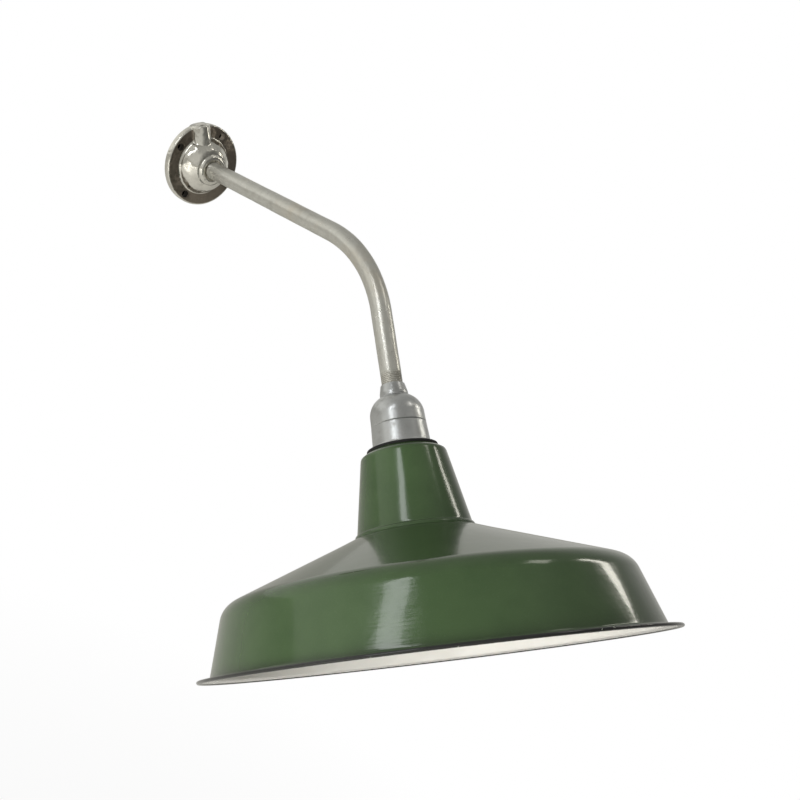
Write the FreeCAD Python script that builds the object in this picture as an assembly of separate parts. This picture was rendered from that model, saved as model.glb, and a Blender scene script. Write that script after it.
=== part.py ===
import FreeCAD, Part
import math
import os

# Gooseneck wall sconce, in millimetres. The origin is the centre of the flange's wall face:
# the wall is the plane Y = 0, the lamp stands out along -Y and +Z is up.

# Driving dimensions
FLANGE_R = 51.5            # cast wall flange, 4 in class
RIM_FACE_R = 50.0          # outer edge of the flat face with the screw holes
RIM_THICK = 8.5
DOME_BASE_R = 36.5
COLLAR_R = 18.8
COLLAR_T = 28.6            # groove between dome and collar, from the wall
COLLAR_FRONT = 33.0
FLANGE_TURN = -33.0        # the boss's direction from +Z towards +X, in degrees
BOLT_CIRCLE_R = 43.0
BOLT_HOLE_R = 4.4
BOSS_HALF_W = 11.2
BOSS_AXIS_Z = 9.8
BOSS_END = 52.6
LOCK_SCREW_Z = 14.0

PIPE_R = 10.65             # half-inch steel pipe
PIPE_BORE_R = 7.9
PIPE_START = 9.5           # the pipe's rear end, from the wall
FIRST_LEG = 271.0          # wall to the start of the bend
BEND_R = 160.0
BEND_ANGLE = 46.0
SECOND_LEG = 78.0          # end of the bend to the top of the holder
PIPE_GRIP = 13.0           # thread that is hidden in the holder's hub
THREAD_FIT = 0.06          # running clearance of the swivelling threads

HUB_TOP_R = 12.0
HUB_BASE_R = 13.9
HUB_LENGTH = 12.8
SHOULDER_R = 21.3          # round shoulder of the cap
SHOULDER_T = 32.0          # its widest place, along the lamp's axis
SHOULDER_MAX_R = 26.4
CAP_WALL = 2.3
SEAM_T = 42.0              # seam of cap and ring
SEAM_R = 26.8
RING_FOOT_R = 28.0
GASKET_T = 64.2            # underside of the holder
GASKET_THICK = 3.0
GASKET_R = 34.3
SPIGOT_R = 22.0            # threaded tube that holds the shade
SPIGOT_BORE_R = 19.7
SPIGOT_END = 79.0

NECK_TOP_R = 34.8
NECK_R = 41.0
NECK_SHOULDER = 4.8
NECK_BASE_R = 54.5
NECK_BASE_T = 145.5
COLLAR_CONE_R = 74.0
COLLAR_CONE_T = 154.5
DISH_R = 184.0
DISH_T = 197.0
SKIRT_R = 199.5
SKIRT_T = 255.5
RIM_R = 211.0
RIM_T = 259.0
SHADE_WALL = 1.2
RIM_BEAD_R = 1.5

SOCKET_R = 18.6
SOCKET_FLANGE_R = 23.0
SOCKET_TOP = 44.0
SEAT_T = SOCKET_TOP + 6    # the socket's flange rests here
SOCKET_FLOOR = SOCKET_TOP + 25
SOCKET_MOUTH = SOCKET_TOP + 51
SHELL_R = 13.1             # clear radius of the lamp's screw shell
SHELL_WALL = 0.6
SHELL_FOOT_R = 12.6        # narrower foot of the shell, round the contact's nose
SHELL_STEP = SOCKET_FLOOR + 5
PLATE_TOP = SOCKET_TOP - 1.2    # upper face of the brass terminal plates
POCKET_R = 4.4             # bore of the sprung contact
POCKET_LIP = SOCKET_FLOOR - 1
STOP_TOP = POCKET_LIP - 1.2     # upper face of the plunger's stop flange
CABLE_R = 3.6
CORE_R = 1.2
CABLE_END = 17.5           # the sheath ends here, inside the cap
EARTH_Y = 14.2             # the earth screw's place in the cap
EARTH_TAG_T = 27.0
FIT = 0.05                 # assembly clearance between fitted pieces


def vec(x, y, z):
    return FreeCAD.Vector(x, y, z)


def rounded_path(corners):
    """Wire through points (vector, radius), with a tangent arc at each inner point that has a radius."""
    edges = []
    last = corners[0][0]
    for (before, _), (at, radius), (after, _) in zip(corners, corners[1:], corners[2:]):
        into = (at - before).normalize()
        out = (after - at).normalize()
        turn = into.getAngle(out)
        if radius == 0 or turn < 1e-6:
            edges.append(Part.LineSegment(last, at).toShape())
            last = at
            continue
        reach = radius * math.tan(turn / 2)
        start = at - into * reach
        end = at + out * reach
        middle = at + (out - into).normalize() * (radius / math.cos(turn / 2) - radius)
        if (start - last).Length > 1e-6:
            edges.append(Part.LineSegment(last, start).toShape())
        edges.append(Part.Arc(start, middle, end).toShape())
        last = end
    edges.append(Part.LineSegment(last, corners[-1][0]).toShape())
    return Part.Wire(edges)


def chords(start, middle, end, count):
    """Points along the arc through three points, so that a round stretch becomes that many cones."""
    return Part.Arc(start, middle, end).toShape().discretize(count + 1)


def profile(*points):
    """Wire in the XZ plane through (r, z) or (r, z, corner radius)."""
    return rounded_path([(vec(p[0], 0, p[1]), p[2] if len(p) > 2 else 0) for p in points])


def spin(wire):
    """Solid of revolution about Z of a closed or nearly closed half section."""
    if not wire.isClosed():
        ends = [wire.OrderedVertexes[-1].Point, wire.OrderedVertexes[0].Point]
        wire = Part.Wire(wire.OrderedEdges + [Part.LineSegment(*ends).toShape()])
    solid = Part.Face(wire).revolve(vec(0, 0, 0), vec(0, 0, 1), 360)
    return Part.Solid(solid.Shells[0])


def turned(*points):
    return spin(profile(*points, points[0]))


def tube(outer, inner, low, high):
    return turned((inner, low), (outer, low), (outer, high), (inner, high))


def rod(radius, base, direction, length):
    return Part.makeCylinder(radius, length, base, direction)


def block(x, y, z):
    """Box between the (low, high) pairs of each axis."""
    return Part.makeBox(x[1] - x[0], y[1] - y[0], z[1] - z[0], vec(x[0], y[0], z[0]))


def sweep(path, radius, sides=0):
    """Bar along a path of tangent lines and arcs, round or with that many flat sides."""
    start = path.OrderedVertexes[0].Point
    heading = path.OrderedEdges[0].tangentAt(path.OrderedEdges[0].FirstParameter)
    section = Part.Wire(Part.Circle(start, heading, radius).toShape())
    if sides:
        corners = section.discretize(sides + 1)
        section = Part.makePolygon(corners[:-1] + corners[:1])
    return path.makePipeShell([section], True, False)


def screw(base, direction, shank_r, shank, head_r, head):
    """Plain screw with a bevelled head: base is under the head, direction points along the shank."""
    top = base - direction * head * 0.6
    rim = rod(head_r, top, direction, head * 0.6)
    bevel = Part.makeCone(head_r, head_r * 0.7, head * 0.4, top, direction * -1)
    return rim.fuse(bevel).fuse(rod(shank_r, base, direction, shank)).removeSplitter()


def set_screw(base, direction, radius, length):
    """Headless screw with a screwdriver slot in its outer end."""
    body = rod(radius, base, direction, length)
    cut = block((-radius, radius), (-0.5, 0.5), (0, 1.6))
    turn = FreeCAD.Rotation(vec(0, 0, 1), direction)
    cut.Placement = FreeCAD.Placement(base, turn)
    return body.cut(cut)


# ---- Frames: the flange is drawn with Z out of the wall, the lamp head with Z along its own axis.

def out_of_wall(shape):
    return shape.transformed(FreeCAD.Placement(vec(0, 0, 0), FreeCAD.Rotation(vec(1, 0, 0), 90)).toMatrix())


def lamp_direction():
    bend = math.radians(BEND_ANGLE)
    return vec(0, -math.cos(bend), -math.sin(bend))


def arm_corner():
    """Where the two straight legs of the pipe would meet."""
    return vec(0, -FIRST_LEG - BEND_R * math.tan(math.radians(BEND_ANGLE / 2)), 0)


def holder_top():
    return arm_corner() + lamp_direction() * (BEND_R * math.tan(math.radians(BEND_ANGLE / 2)) + SECOND_LEG)


def on_lamp_axis(shape):
    turn = FreeCAD.Rotation(vec(1, 0, 0), 90 + BEND_ANGLE)
    return shape.transformed(FreeCAD.Placement(holder_top(), turn).toMatrix())


# ---- Wall flange

def boss_direction():
    angle = math.radians(FLANGE_TURN)
    return vec(math.sin(angle), math.cos(angle), 0)


def flange_outside():
    """Rim, dome and collar as one revolve: fillet at the dome's foot, groove under the collar."""
    foot = (DOME_BASE_R - 1.7, RIM_THICK + 1.4)
    rim = [
        vec(0, 0, 0), vec(FLANGE_R, 0, 0), vec(FLANGE_R, 0, RIM_THICK - 2.5), vec(FLANGE_R - 0.4, 0, RIM_THICK - 0.9),
        vec(RIM_FACE_R, 0, RIM_THICK), vec(DOME_BASE_R, 0, RIM_THICK), vec(foot[0], 0, foot[1]),
    ]
    collar = [
        vec(COLLAR_R + 0.7, 0, COLLAR_T + 0.5), vec(COLLAR_R, 0, COLLAR_T), vec(COLLAR_R - 0.4, 0, COLLAR_T + 1.8),
        vec(17.3, 0, COLLAR_FRONT - 1.1), vec(15.8, 0, COLLAR_FRONT - 0.3), vec(14.0, 0, COLLAR_FRONT),
        vec(13.2, 0, COLLAR_FRONT), vec(11.6, 0, COLLAR_FRONT - 1.2), vec(0, 0, COLLAR_FRONT - 1.2),
    ]
    dome = chords(rim[-1], vec(29.5, 0, 20.8), collar[0], 7)
    return spin(Part.makePolygon(rim + dome[1:-1] + collar))


def flange_cavity():
    """Hollow back of the casting, round the inner tube that grips the pipe."""
    ring = turned((15.5, -1), (31.5, -1), (31.5, 8.0), (29.0, 13.8), (25.0, 19.2), (19.5, 23.4), (15.5, 24.0))
    return ring.fuse(rod(16.0, vec(0, 0, -1), vec(0, 0, 1), PIPE_START - 0.5))


def boss_bar():
    """Half-round radial boss from the hub past the rim, with straight sides down to the wall."""
    section = Part.Wire([
        Part.LineSegment(vec(-BOSS_HALF_W, 0, 0), vec(BOSS_HALF_W, 0, 0)).toShape(),
        Part.LineSegment(vec(BOSS_HALF_W, 0, 0), vec(BOSS_HALF_W, 0, BOSS_AXIS_Z)).toShape(),
        Part.Arc(vec(BOSS_HALF_W, 0, BOSS_AXIS_Z), vec(0, 0, BOSS_AXIS_Z + BOSS_HALF_W),
                 vec(-BOSS_HALF_W, 0, BOSS_AXIS_Z)).toShape(),
        Part.LineSegment(vec(-BOSS_HALF_W, 0, BOSS_AXIS_Z), vec(-BOSS_HALF_W, 0, 0)).toShape(),
    ])
    bar = Part.Face(section).extrude(vec(0, BOSS_END, 0))
    rounded = bar.common(tube(BOSS_END, 12.0, 0, 30.0))
    crest = [e for e in rounded.Edges if e.BoundBox.YMin > BOSS_END * 0.9 and e.BoundBox.ZMax > BOSS_AXIS_Z + 1]
    return rounded.makeChamfer(1.2, crest)


def turned_with_boss(shape):
    """From the boss on +Y to its real direction round the hub."""
    return shape.rotate(vec(0, 0, 0), vec(0, 0, 1), -FLANGE_TURN)


def wall_flange():
    body = flange_outside().fuse(turned_with_boss(boss_bar()))
    strut = rod(5.5, boss_direction() * 12.0 + vec(0, 0, LOCK_SCREW_Z), boss_direction(), 24.0)
    body = body.cut(flange_cavity()).fuse(strut)
    cuts = [rod(PIPE_R + THREAD_FIT, vec(0, 0, -1), vec(0, 0, 1), COLLAR_FRONT + 2)]
    cuts.append(rod(3.0 + FIT, vec(0, 0, LOCK_SCREW_Z), boss_direction(), BOSS_END + 2))
    for quarter in range(4):
        angle = math.radians(FLANGE_TURN + 45 + 90 * quarter)
        at = vec(math.sin(angle), math.cos(angle), 0) * BOLT_CIRCLE_R
        cuts.append(rod(BOLT_HOLE_R, at - vec(0, 0, 1), vec(0, 0, 1), RIM_THICK + 2))
    for cut in cuts:
        body = body.cut(cut)
    return body.removeSplitter()


def arm_lock_screw():
    tip = PIPE_R + 0.35
    start = boss_direction() * (BOSS_END - 0.4) + vec(0, 0, LOCK_SCREW_Z)
    return set_screw(start, boss_direction() * -1, 3.0, BOSS_END - 0.4 - tip)


# ---- Arm

def arm_path():
    grip = holder_top() + lamp_direction() * PIPE_GRIP
    return rounded_path([(vec(0, -PIPE_START, 0), 0), (arm_corner(), BEND_R), (grip, 0)])


def cable_path():
    end = holder_top() + lamp_direction() * CABLE_END
    return rounded_path([(vec(0, -PIPE_START + 1.5, 0), 0), (arm_corner(), BEND_R), (end, 0)])


def arm_pipe():
    return sweep(arm_path(), PIPE_R).cut(sweep(arm_path(), PIPE_BORE_R))


def pipe_bush():
    """Collar with a sleeve that lines the mouth of the pipe; the sleeve runs along +Z."""
    return turned((CABLE_R + 0.3, -1.5), (9.6, -1.5), (9.6, 0), (PIPE_BORE_R - FIT, 0),
                  (PIPE_BORE_R - FIT, 6.0), (CABLE_R + 0.3, 6.0))


def pipe_bushes():
    rear = out_of_wall(pipe_bush())
    rear.translate(vec(0, -PIPE_START, 0))
    front = pipe_bush().rotate(vec(0, 0, 0), vec(1, 0, 0), 180)
    front.translate(vec(0, 0, PIPE_GRIP))
    return Part.makeCompound([rear, on_lamp_axis(front)])


def supply_tails():
    """Three cores that leave the sheath behind the pipe and lie in the flange's hollow."""
    tails = []
    for third in range(3):
        angle = math.radians(90 + 120 * third)
        across = vec(math.cos(angle), math.sin(angle), 0)
        level = PIPE_START - 1.5
        points = [across * 1.9 + vec(0, 0, level), across * 1.9 + vec(0, 0, 3.5), across * 13.0 + vec(0, 0, 3.5)]
        path = rounded_path([(points[0], 0), (points[1], 3.5), (points[2], 0)])
        tails.append(out_of_wall(sweep(path, CORE_R, 8)))
    return Part.makeCompound(tails)


# ---- Holder

def on_shoulder(radius, t):
    """Point of the shoulder's circle of that radius, at a distance t below the hub's top."""
    across = SHOULDER_MAX_R - SHOULDER_R + math.sqrt(radius ** 2 - (SHOULDER_T - t) ** 2)
    return vec(across, 0, t)


def holder_cap():
    """Cast bell: flared hub, groove, round shoulder, and a lower edge that slips over the ring."""
    bore = PIPE_R + THREAD_FIT
    inner = SHOULDER_R - CAP_WALL
    roof = HUB_LENGTH + 1.9
    outside = [
        vec(bore, 0, 0.6), vec(bore + 0.6, 0, 0), vec(HUB_TOP_R - 0.4, 0, 0), vec(HUB_TOP_R, 0, 0.4),
        vec(HUB_BASE_R, 0, 9.0), vec(HUB_BASE_R, 0, HUB_LENGTH), vec(HUB_BASE_R + 0.5, 0, HUB_LENGTH + 0.4),
        on_shoulder(SHOULDER_R, HUB_LENGTH + 0.4),
    ]
    edge = [
        on_shoulder(SHOULDER_R, SHOULDER_T), vec(SEAM_R - 0.1, 0, SEAM_T - 0.5), vec(SEAM_R - 0.6, 0, SEAM_T),
        vec(24.35, 0, SEAM_T), vec(24.35, 0, SEAM_T - 5), on_shoulder(inner, SHOULDER_T),
        on_shoulder(inner, 25.5), on_shoulder(inner, 20.0), on_shoulder(inner, roof), vec(bore, 0, roof), outside[0],
    ]
    shoulder = chords(outside[-1], on_shoulder(SHOULDER_R, 20.0), edge[0], 6)
    bell = spin(Part.makePolygon(outside + shoulder[1:-1] + edge))
    bell = bell.fuse(rod(3.4, vec(0, EARTH_Y, roof - 1), vec(0, 0, 1), EARTH_TAG_T - roof + 1))
    bell = bell.cut(rod(2.0 + FIT, vec(0, EARTH_Y, roof + 3), vec(0, 0, 1), 12))
    return bell.cut(rod(2.0 + FIT, vec(0, 0, 5.5), holder_screw_direction(), 20)).removeSplitter()


def holder_screw_direction():
    """The holder's lock screw is on the side away from the wall flange's boss."""
    angle = math.radians(35)
    return vec(math.cos(angle), -math.sin(angle), 0)


def holder_lock_screw():
    tip = PIPE_R + 0.35
    start = holder_screw_direction() * (HUB_BASE_R + 0.4) + vec(0, 0, 5.5)
    return set_screw(start, holder_screw_direction() * -1, 2.0, HUB_BASE_R + 0.4 - tip)


def holder_ring():
    """Lower half of the holder: outer wall, inner tube with the socket's seat, and the threaded spigot."""
    bore = SOCKET_FLANGE_R + 0.4
    return turned(
        (bore, SEAM_T - 4.5), (24.3, SEAM_T - 4.5), (24.3, SEAM_T), (SEAM_R - 0.5, SEAM_T),
        (SEAM_R, SEAM_T + 0.5), (RING_FOOT_R, GASKET_T - 2.0), (RING_FOOT_R + 0.6, GASKET_T - 1.2),
        (RING_FOOT_R + 0.3, GASKET_T),
        (SPIGOT_R, GASKET_T), (SPIGOT_R, SPIGOT_END - 0.6), (SPIGOT_R - 0.6, SPIGOT_END),
        (SPIGOT_BORE_R, SPIGOT_END), (SPIGOT_BORE_R, SEAT_T), (21.6, SEAT_T), (21.6, GASKET_T - 2.7),
        (bore, GASKET_T - 2.7))


def socket_retainer():
    """Threaded ring that holds the socket's flange down on its seat, with two key slots."""
    ring = tube(SOCKET_FLANGE_R + 0.35, 19.2, SOCKET_TOP - 3.0, SOCKET_TOP)
    slot = block((-30, 30), (-1.5, 1.5), (SOCKET_TOP - 3.0, SOCKET_TOP - 1.5))
    return ring.cut(slot)


def neck_gasket():
    low = GASKET_T + GASKET_THICK
    return turned((SPIGOT_R + 0.3, GASKET_T), (GASKET_R - 0.6, GASKET_T), (GASKET_R, GASKET_T + 0.7),
                  (GASKET_R, low - 0.7), (GASKET_R - 0.6, low), (SPIGOT_R + 0.3, low))


def clamp_washer():
    low = GASKET_T + GASKET_THICK + SHADE_WALL
    return tube(33.0, SPIGOT_R + 0.3, low, low + 1.6)


def shade_ring_nut():
    """Round nut with six finger notches, under the washer inside the neck."""
    low = GASKET_T + GASKET_THICK + SHADE_WALL + 1.6
    nut = tube(29.0, SPIGOT_R + FIT, low, low + 5.0)
    for sixth in range(6):
        angle = math.radians(60 * sixth)
        nut = nut.cut(rod(3.0, vec(30.5 * math.cos(angle), 30.5 * math.sin(angle), low - 1), vec(0, 0, 1), 7))
    return nut


# ---- Shade

def sheet_metal(line):
    """Spun shell: the outer line, thickened inwards, turned about the lamp's axis."""
    wall = line.makeOffset2D(SHADE_WALL, 2, True, True)
    if wall.BoundBox.XMax > line.BoundBox.XMax + SHADE_WALL / 2 or wall.BoundBox.ZMin < line.BoundBox.ZMin - 0.1:
        wall = line.makeOffset2D(-SHADE_WALL, 2, True, True)
    shell = wall.revolve(vec(0, 0, 0), vec(0, 0, 1), 360)
    return Part.Solid(shell.Shells[0])


def shade_neck():
    """Tapered neck with a flat top that the ring nut clamps; its foot is seamed to the dish."""
    top = GASKET_T + GASKET_THICK
    return sheet_metal(profile(
        (SPIGOT_R + 0.4, top), (NECK_TOP_R, top), (NECK_R - 0.8, top + NECK_SHOULDER - 0.7),
        (NECK_R + 0.1, top + NECK_SHOULDER + 1.6), (NECK_BASE_R, NECK_BASE_T)))


def shade_dish():
    """Collar, dish, skirt and lip, with a bead rolled round the rim; six-sided here, round in the look."""
    corner = profile((COLLAR_CONE_R, COLLAR_CONE_T), (DISH_R, DISH_T, 20.0), (SKIRT_R, SKIRT_T)).OrderedEdges[1]
    line = [vec(NECK_BASE_R + 0.3, 0, NECK_BASE_T + 0.3), vec(COLLAR_CONE_R, 0, COLLAR_CONE_T)]
    line += corner.discretize(5)
    line += [vec(SKIRT_R, 0, SKIRT_T), vec(RIM_R - RIM_BEAD_R, 0, RIM_T - RIM_BEAD_R)]
    shell = sheet_metal(Part.makePolygon(line))
    centre = vec(RIM_R - RIM_BEAD_R, 0, RIM_T - RIM_BEAD_R)
    corners = [centre + vec(math.cos(a), 0, math.sin(a)) * RIM_BEAD_R
               for a in (math.radians(60 * sixth) for sixth in range(6))]
    bead = spin(Part.makePolygon(corners + corners[:1]))
    return shell.fuse(bead).removeSplitter()


# ---- Lampholder

def socket_body():
    """Porcelain: flange, barrel with the shell's bore, floor, and the pocket of the sprung contact."""
    bore = SHELL_R + SHELL_WALL + 1.0
    body = turned(
        (POCKET_R, SOCKET_TOP), (SOCKET_FLANGE_R, SOCKET_TOP), (SOCKET_FLANGE_R, SEAT_T), (SOCKET_R, SEAT_T),
        (SOCKET_R, SOCKET_MOUTH - 1), (SOCKET_R - 1, SOCKET_MOUTH), (bore, SOCKET_MOUTH), (bore, SOCKET_FLOOR),
        (3.2, SOCKET_FLOOR), (3.2, POCKET_LIP), (POCKET_R, POCKET_LIP))
    for x, y in SHELL_SCREW_SPOTS:
        body = body.cut(rod(1.5 + FIT, vec(x, y, SOCKET_TOP - 1), vec(0, 0, 1), 30))
    for x in TERMINAL_SCREW_X:
        body = body.cut(rod(1.6 + FIT, vec(x, 0, SOCKET_TOP - 1), vec(0, 0, 1), 9))
    return body


SHELL_SCREW_SPOTS = [(-8.2, 5.8), (-8.2, -5.8)]
TERMINAL_SCREW_X = [12.0, -13.2]


def socket_shell():
    """Brass screw shell: a floor that its screws clamp, a narrow foot, and the wider wall for the lamp."""
    outer = SHELL_R + SHELL_WALL
    foot = SHELL_FOOT_R + SHELL_WALL
    cone_end = SHELL_STEP - (SHELL_R - SHELL_FOOT_R)
    cup = turned(
        (6.8, SOCKET_FLOOR), (foot, SOCKET_FLOOR), (foot, cone_end - 0.3), (outer, SHELL_STEP - 0.3),
        (outer, SOCKET_MOUTH - 3.0), (SHELL_R, SOCKET_MOUTH - 3.0), (SHELL_R, SHELL_STEP),
        (SHELL_FOOT_R, cone_end), (SHELL_FOOT_R, SOCKET_FLOOR + 0.8), (6.8, SOCKET_FLOOR + 0.8))
    for x, y in SHELL_SCREW_SPOTS:
        cup = cup.cut(rod(1.5 + FIT, vec(x, y, SOCKET_FLOOR - 1), vec(0, 0, 1), 3))
    return cup


def shell_screws():
    base = SOCKET_FLOOR + 0.8
    length = base - PLATE_TOP
    return [screw(vec(x, y, base), vec(0, 0, -1), 1.5, length, 2.4, 1.3) for x, y in SHELL_SCREW_SPOTS]


def live_terminal():
    plate = block((-5.2, 16.0), (-4.6, 4.6), (PLATE_TOP, SOCKET_TOP))
    plate = plate.makeFillet(2.0, [e for e in plate.Edges if e.Length < 1.5])
    return plate.cut(rod(1.6 + FIT, vec(TERMINAL_SCREW_X[0], 0, 30), vec(0, 0, 1), 20))


def neutral_terminal():
    plate = block((-16.2, -6.0), (-8.6, 8.6), (PLATE_TOP, SOCKET_TOP))
    plate = plate.makeFillet(2.0, [e for e in plate.Edges if e.Length < 1.5 and e.BoundBox.XMax < -10])
    for x, y in SHELL_SCREW_SPOTS:
        plate = plate.cut(rod(1.5 + FIT, vec(x, y, 30), vec(0, 0, 1), 20))
    return plate.cut(rod(1.6 + FIT, vec(TERMINAL_SCREW_X[1], 0, 30), vec(0, 0, 1), 20))


def terminal_screws():
    return [screw(vec(x, 0, PLATE_TOP), vec(0, 0, 1), 1.6, 8.0, 3.2, 2.2) for x in TERMINAL_SCREW_X]


def centre_contact():
    """Brass plunger: round nose, stop flange behind the pocket's lip, and a stem inside the spring."""
    dome = 3.1
    centre = SOCKET_FLOOR + 4 - dome
    steep = math.acos(2.9 / dome)
    middle = (math.radians(90) + steep) / 2
    stem = [
        vec(0, 0, STOP_TOP - 11), vec(2.0, 0, STOP_TOP - 11), vec(2.0, 0, STOP_TOP), vec(4.1, 0, STOP_TOP),
        vec(4.1, 0, POCKET_LIP - FIT), vec(2.9, 0, POCKET_LIP - FIT),
    ]
    across = vec(dome * math.cos(middle), 0, centre + dome * math.sin(middle))
    nose = chords(vec(2.9, 0, centre + dome * math.sin(steep)), across, vec(0, 0, centre + dome), 4)
    return spin(Part.makePolygon(stem + nose))


def contact_spring():
    """Open coil between the live terminal and the plunger's flange, of straight six-sided lengths."""
    mean_r, wire_r, turns, steps = 3.15, 0.3, 6, 16
    low, high = SOCKET_TOP + wire_r + 0.05, STOP_TOP - wire_r - 0.05
    sections = []
    for step in range(turns * steps + 1):
        angle = 2 * math.pi * step / steps
        out = vec(math.cos(angle), math.sin(angle), 0)
        centre = out * mean_r + vec(0, 0, low + (high - low) * step / (turns * steps))
        corners = [centre + (out * math.cos(a) + vec(0, 0, 1) * math.sin(a)) * wire_r
                   for a in (math.radians(60 * sixth) for sixth in range(6))]
        sections.append(Part.makePolygon(corners + corners[:1]))
    print("contact_spring: gap between turns", round((high - low) / turns - 2 * wire_r, 2), "mm")
    return Part.makeLoft(sections, True, True)


def core_route(points, radius):
    inner = [(p, radius) for p in points[1:-1]]
    return sweep(rounded_path([(points[0], 0)] + inner + [(points[-1], 0)]), CORE_R, 8)


def socket_lead(side, x_end):
    """Core from the sheath's end to a terminal plate, straight at both ends."""
    start = vec(side * 1.9, 0, CABLE_END)
    end = vec(x_end, 0, PLATE_TOP)
    return core_route([start, start + vec(0, 0, 6), end - vec(0, 0, 7), end], 12.0)


def earth_lead():
    start = vec(0, 1.9, CABLE_END)
    end = vec(0, EARTH_Y - 6.4, EARTH_TAG_T)
    return core_route([start, start + vec(0, 0, 2.5), end - vec(0, 0, 2.5), end], 4.0)


def earth_tag():
    """Ring tag with a straight tail towards the earth core."""
    tail = block((-1.8, 1.8), (EARTH_Y - 8.0, EARTH_Y), (EARTH_TAG_T, EARTH_TAG_T + 0.8))
    tag = tail.fuse(rod(3.4, vec(0, EARTH_Y, EARTH_TAG_T), vec(0, 0, 1), 0.8))
    return tag.removeSplitter().cut(rod(2.0 + FIT, vec(0, EARTH_Y, 20), vec(0, 0, 1), 10))


def earth_screw():
    return screw(vec(0, EARTH_Y, EARTH_TAG_T + 0.8), vec(0, 0, -1), 2.0, 8.5, 3.3, 2.2)


# ---- Assembly

def write(name, shape):
    if isinstance(shape, list):
        shape = Part.makeCompound(shape)
    shape.exportStep(os.path.join("parts", name + ".step"))


def main():
    os.makedirs("parts", exist_ok=True)
    for build in (wall_flange, arm_lock_screw):
        write(build.__name__, out_of_wall(build()))
    for build in (arm_pipe, pipe_bushes, supply_tails):
        write(build.__name__, build())
    write("supply_cable", sweep(cable_path(), CABLE_R))
    head = (
        holder_cap, holder_lock_screw, holder_ring, socket_retainer, neck_gasket, clamp_washer, shade_ring_nut,
        shade_neck, shade_dish, socket_body, socket_shell, shell_screws, live_terminal, neutral_terminal, terminal_screws,
        centre_contact, contact_spring, earth_lead, earth_tag, earth_screw)
    for build in head:
        pieces = build()
        if isinstance(pieces, list):
            pieces = Part.makeCompound(pieces)
        write(build.__name__, on_lamp_axis(pieces))
    write("live_lead", on_lamp_axis(socket_lead(1, 6.0)))
    write("neutral_lead", on_lamp_axis(socket_lead(-1, -7.8)))


main()
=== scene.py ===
import math

import bmesh
import bpy
import numpy as np
from mathutils import Matrix, Vector


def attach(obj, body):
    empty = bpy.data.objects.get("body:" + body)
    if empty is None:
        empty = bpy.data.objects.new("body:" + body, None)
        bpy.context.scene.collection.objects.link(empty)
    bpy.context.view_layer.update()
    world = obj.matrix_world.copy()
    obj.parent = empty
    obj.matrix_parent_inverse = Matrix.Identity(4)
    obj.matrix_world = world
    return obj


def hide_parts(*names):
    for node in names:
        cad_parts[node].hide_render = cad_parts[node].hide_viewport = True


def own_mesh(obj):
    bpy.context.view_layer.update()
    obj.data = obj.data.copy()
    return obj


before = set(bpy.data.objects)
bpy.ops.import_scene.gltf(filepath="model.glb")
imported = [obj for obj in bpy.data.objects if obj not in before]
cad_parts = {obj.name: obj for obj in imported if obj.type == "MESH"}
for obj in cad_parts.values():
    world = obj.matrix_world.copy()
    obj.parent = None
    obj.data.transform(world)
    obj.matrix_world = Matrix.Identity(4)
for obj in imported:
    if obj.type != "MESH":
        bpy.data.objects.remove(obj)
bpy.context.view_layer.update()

# ---------------------------------------------------------------------------
# Wall flange: a round aluminium casting with a polished dome, a machined ring with four screw holes
# and a half-round boss for the arm's lock screw. It carries the whole lamp. The surface is the CAD
# solid's own, copied with its corners merged so that the round stretches shade smoothly.

RING_IN, RING_OUT, RING_EDGE = 0.0366, 0.0496, 0.0004
RING_FRONT, FRONT_EDGE = 0.0090, 0.0002
HOLE_CIRCLE, FIRST_HOLE = 0.043, math.radians(12)
HOLE_R, HOLE_EDGE = 0.00445, 0.0001
# The third of these colours is painted shade, for the inside of the screw holes.
GRIME, MACHINED, PAINTED_HOLE_SHADE = (0.30, 0.28, 0.25), (0.235, 0.205, 0.17), (0.010, 0.010, 0.010)
MERGE = 2e-6


def smooth_copy(node, body, material, angle=32.0):
    """The CAD node's own surface, with its loose triangles joined and edges sharper than angle kept crisp."""
    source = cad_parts[node]
    mesh = source.data.copy()
    mesh.transform(source.matrix_world)
    work = bmesh.new()
    work.from_mesh(mesh)
    bmesh.ops.remove_doubles(work, verts=work.verts, dist=MERGE)
    work.to_mesh(mesh)
    work.free()
    mesh.shade_smooth()
    mesh.set_sharp_from_angle(angle=math.radians(angle))
    mesh.materials.clear()
    mesh.materials.append(material)
    piece = bpy.data.objects.new(node + "_look", mesh)
    bpy.context.scene.collection.objects.link(piece)
    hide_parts(node)
    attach(piece, body)
    return piece


class Number:
    """A shader value: sums, differences and products of it become Math nodes."""

    def __init__(self, tree, socket):
        self.tree, self.socket = tree, socket

    def joined(self, operation, other, first=False, clamp=False):
        """Math node on this value and another, which comes first where first says so."""
        node = self.tree.nodes.new("ShaderNodeMath")
        node.operation, node.use_clamp = operation, clamp
        for place, value in enumerate([other, self] if first else [self, other]):
            if isinstance(value, Number):
                self.tree.links.new(value.socket, node.inputs[place])
            else:
                node.inputs[place].default_value = value
        return Number(self.tree, node.outputs[0])

    def __add__(self, other):
        return self.joined("ADD", other)

    def __mul__(self, other):
        return self.joined("MULTIPLY", other)

    def __sub__(self, other):
        return self.joined("SUBTRACT", other)

    def __rsub__(self, other):
        return self.joined("SUBTRACT", other, first=True)

    __radd__, __rmul__ = __add__, __mul__

    def clipped(self):
        """The value held between 0 and 1."""
        return self.joined("ADD", 0.0, clamp=True)

    def between(self, low, high):
        """0 below low, 1 above high, and even in between."""
        return ((self - low) * (1.0 / (high - low))).clipped()

    def past(self, edge, softness):
        """0 before edge and 1 past it, with an even slope of softness on each side of it."""
        return self.between(edge - softness, edge + softness)


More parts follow.
